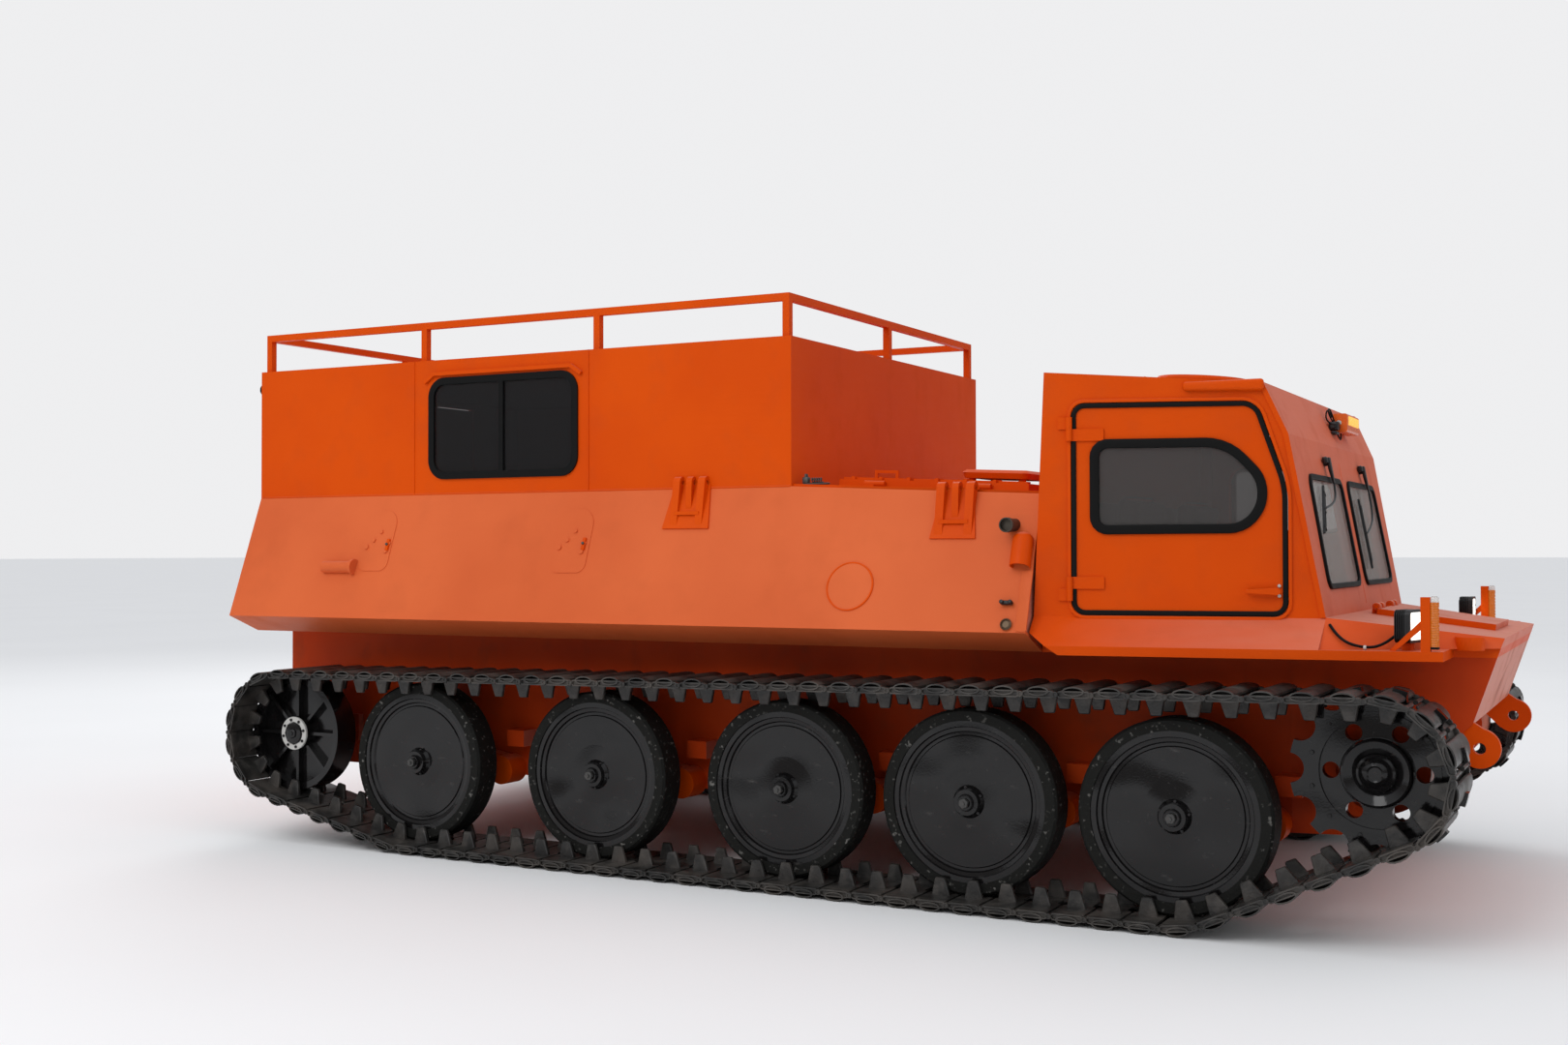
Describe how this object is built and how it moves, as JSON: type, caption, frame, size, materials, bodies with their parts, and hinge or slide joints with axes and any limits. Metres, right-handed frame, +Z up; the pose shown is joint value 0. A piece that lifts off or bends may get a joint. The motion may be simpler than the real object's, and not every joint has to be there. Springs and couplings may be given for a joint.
{
  "type": "tracked all-terrain vehicle",
  "caption": "Orange tracked all-terrain vehicle with a low cab in front, an engine deck and a crew house behind, on five road wheels a side.",
  "frame": {"origin": "middle of the overall length and width, on the ground", "axes": "+X forward, +Y to the vehicle's left, +Z up"},
  "size_m": [5.4069, 2.504, 2.3],
  "materials": {
    "orange_paint": "satin orange paint",
    "hull_paint": "dull dark red paint",
    "black_paint": "gloss black paint",
    "rubber": "matte black rubber",
    "glass": "clear glass",
    "tyre_rubber": "worn solid rubber",
    "track_steel": "bare dark cast steel, worn",
    "engine_iron": "rough cast block",
    "exhaust_steel": "heat-stained steel",
    "lamp_lens": "translucent amber plastic",
    "seat_fabric": "dark woven cloth"
  },
  "bodies": {
    "hull": {"lower_hull": "hull_paint", "upper_hull": "orange_paint", "engine_bulkheads": "hull_paint", "engine": "engine_iron", "rear_house": "orange_paint", "house_window_gaskets": "rubber", "house_window_glass": "glass", "roof_rail": "orange_paint", "door_hinges": "orange_paint", "cab_shell": "orange_paint", "windscreen_gaskets": "rubber", "windscreen_glass": "glass", "hatch_hinges": "orange_paint", "fenders": "orange_paint", "nose": "orange_paint", "engine_deck": "orange_paint", "lift_brackets": "orange_paint", "side_covers": "orange_paint", "exhaust_pipe": "exhaust_steel", "air_hood": "black_paint", "lamp_brackets": "black_paint", "headlamps": "black_paint", "marker_lamps": "lamp_lens", "headlamp_cables": "rubber", "light_bar": "black_paint", "wipers": "black_paint", "tow_hooks": "hull_paint", "track_left": "track_steel", "track_right": "track_steel", "sprockets": "black_paint", "final_drives": "black_paint", "idlers": "black_paint", "idler_axles": "black_paint", "road_wheels": "black_paint", "tyres": "tyre_rubber", "swing_arms": "black_paint", "bump_stops": "black_paint", "cab_floor": "hull_paint", "cab_seats": "seat_fabric", "dashboard": "black_paint", "rear_benches": "seat_fabric"},
    "cab_door_left": {"cab_door_left": "orange_paint", "cab_door_gasket_left": "rubber", "cab_door_glass_left": "glass"},
    "cab_door_right": {"cab_door_right": "orange_paint", "cab_door_gasket_right": "rubber", "cab_door_glass_right": "glass"},
    "rear_door_left": {"rear_door_left": "orange_paint"},
    "rear_door_right": {"rear_door_right": "orange_paint"},
    "roof_hatch_left": {"roof_hatch_left": "orange_paint"},
    "roof_hatch_right": {"roof_hatch_right": "orange_paint"},
    "hood_hatch": {"hood_hatch": "orange_paint"},
    "engine_lid_left": {"engine_lid_left": "orange_paint"},
    "engine_lid_right": {"engine_lid_right": "orange_paint"}
  },
  "joints": [
    {"name": "cab_door_left_hinge", "type": "hinge", "parent": "hull", "child": "cab_door_left", "pos_m": [1.32431, 1.06726, 1.43], "axis": [0, 0, 1], "range_deg": [0, 85]},
    {"name": "cab_door_right_hinge", "type": "hinge", "parent": "hull", "child": "cab_door_right", "pos_m": [1.32431, -1.06726, 1.43], "axis": [0, 0, -1], "range_deg": [0, 85]},
    {"name": "rear_door_left_hinge", "type": "hinge", "parent": "hull", "child": "rear_door_left", "pos_m": [-2.6585, 0.55, 1.5], "axis": [0, 0, -1], "range_deg": [0, 110]},
    {"name": "rear_door_right_hinge", "type": "hinge", "parent": "hull", "child": "rear_door_right", "pos_m": [-2.6585, -0.55, 1.5], "axis": [0, 0, 1], "range_deg": [0, 110]},
    {"name": "roof_hatch_left_hinge", "type": "hinge", "parent": "hull", "child": "roof_hatch_left", "pos_m": [1.43155, 0.43, 1.93531], "axis": [0, -1, 0], "range_deg": [0, 100]},
    {"name": "roof_hatch_right_hinge", "type": "hinge", "parent": "hull", "child": "roof_hatch_right", "pos_m": [1.43155, -0.43, 1.93531], "axis": [0, -1, 0], "range_deg": [0, 100]},
    {"name": "hood_hatch_hinge", "type": "hinge", "parent": "hull", "child": "hood_hatch", "pos_m": [2.22125, 0, 1.05861], "axis": [0, -1, 0], "range_deg": [0, 95]},
    {"name": "engine_lid_left_hinge", "type": "hinge", "parent": "hull", "child": "engine_lid_left", "pos_m": [0.29955, 0.833, 1.55295], "axis": [-0.999, 0, 0.0456], "range_deg": [0, 100]},
    {"name": "engine_lid_right_hinge", "type": "hinge", "parent": "hull", "child": "engine_lid_right", "pos_m": [0.29955, -0.833, 1.55295], "axis": [0.999, 0, -0.0456], "range_deg": [0, 100]}
  ]
}
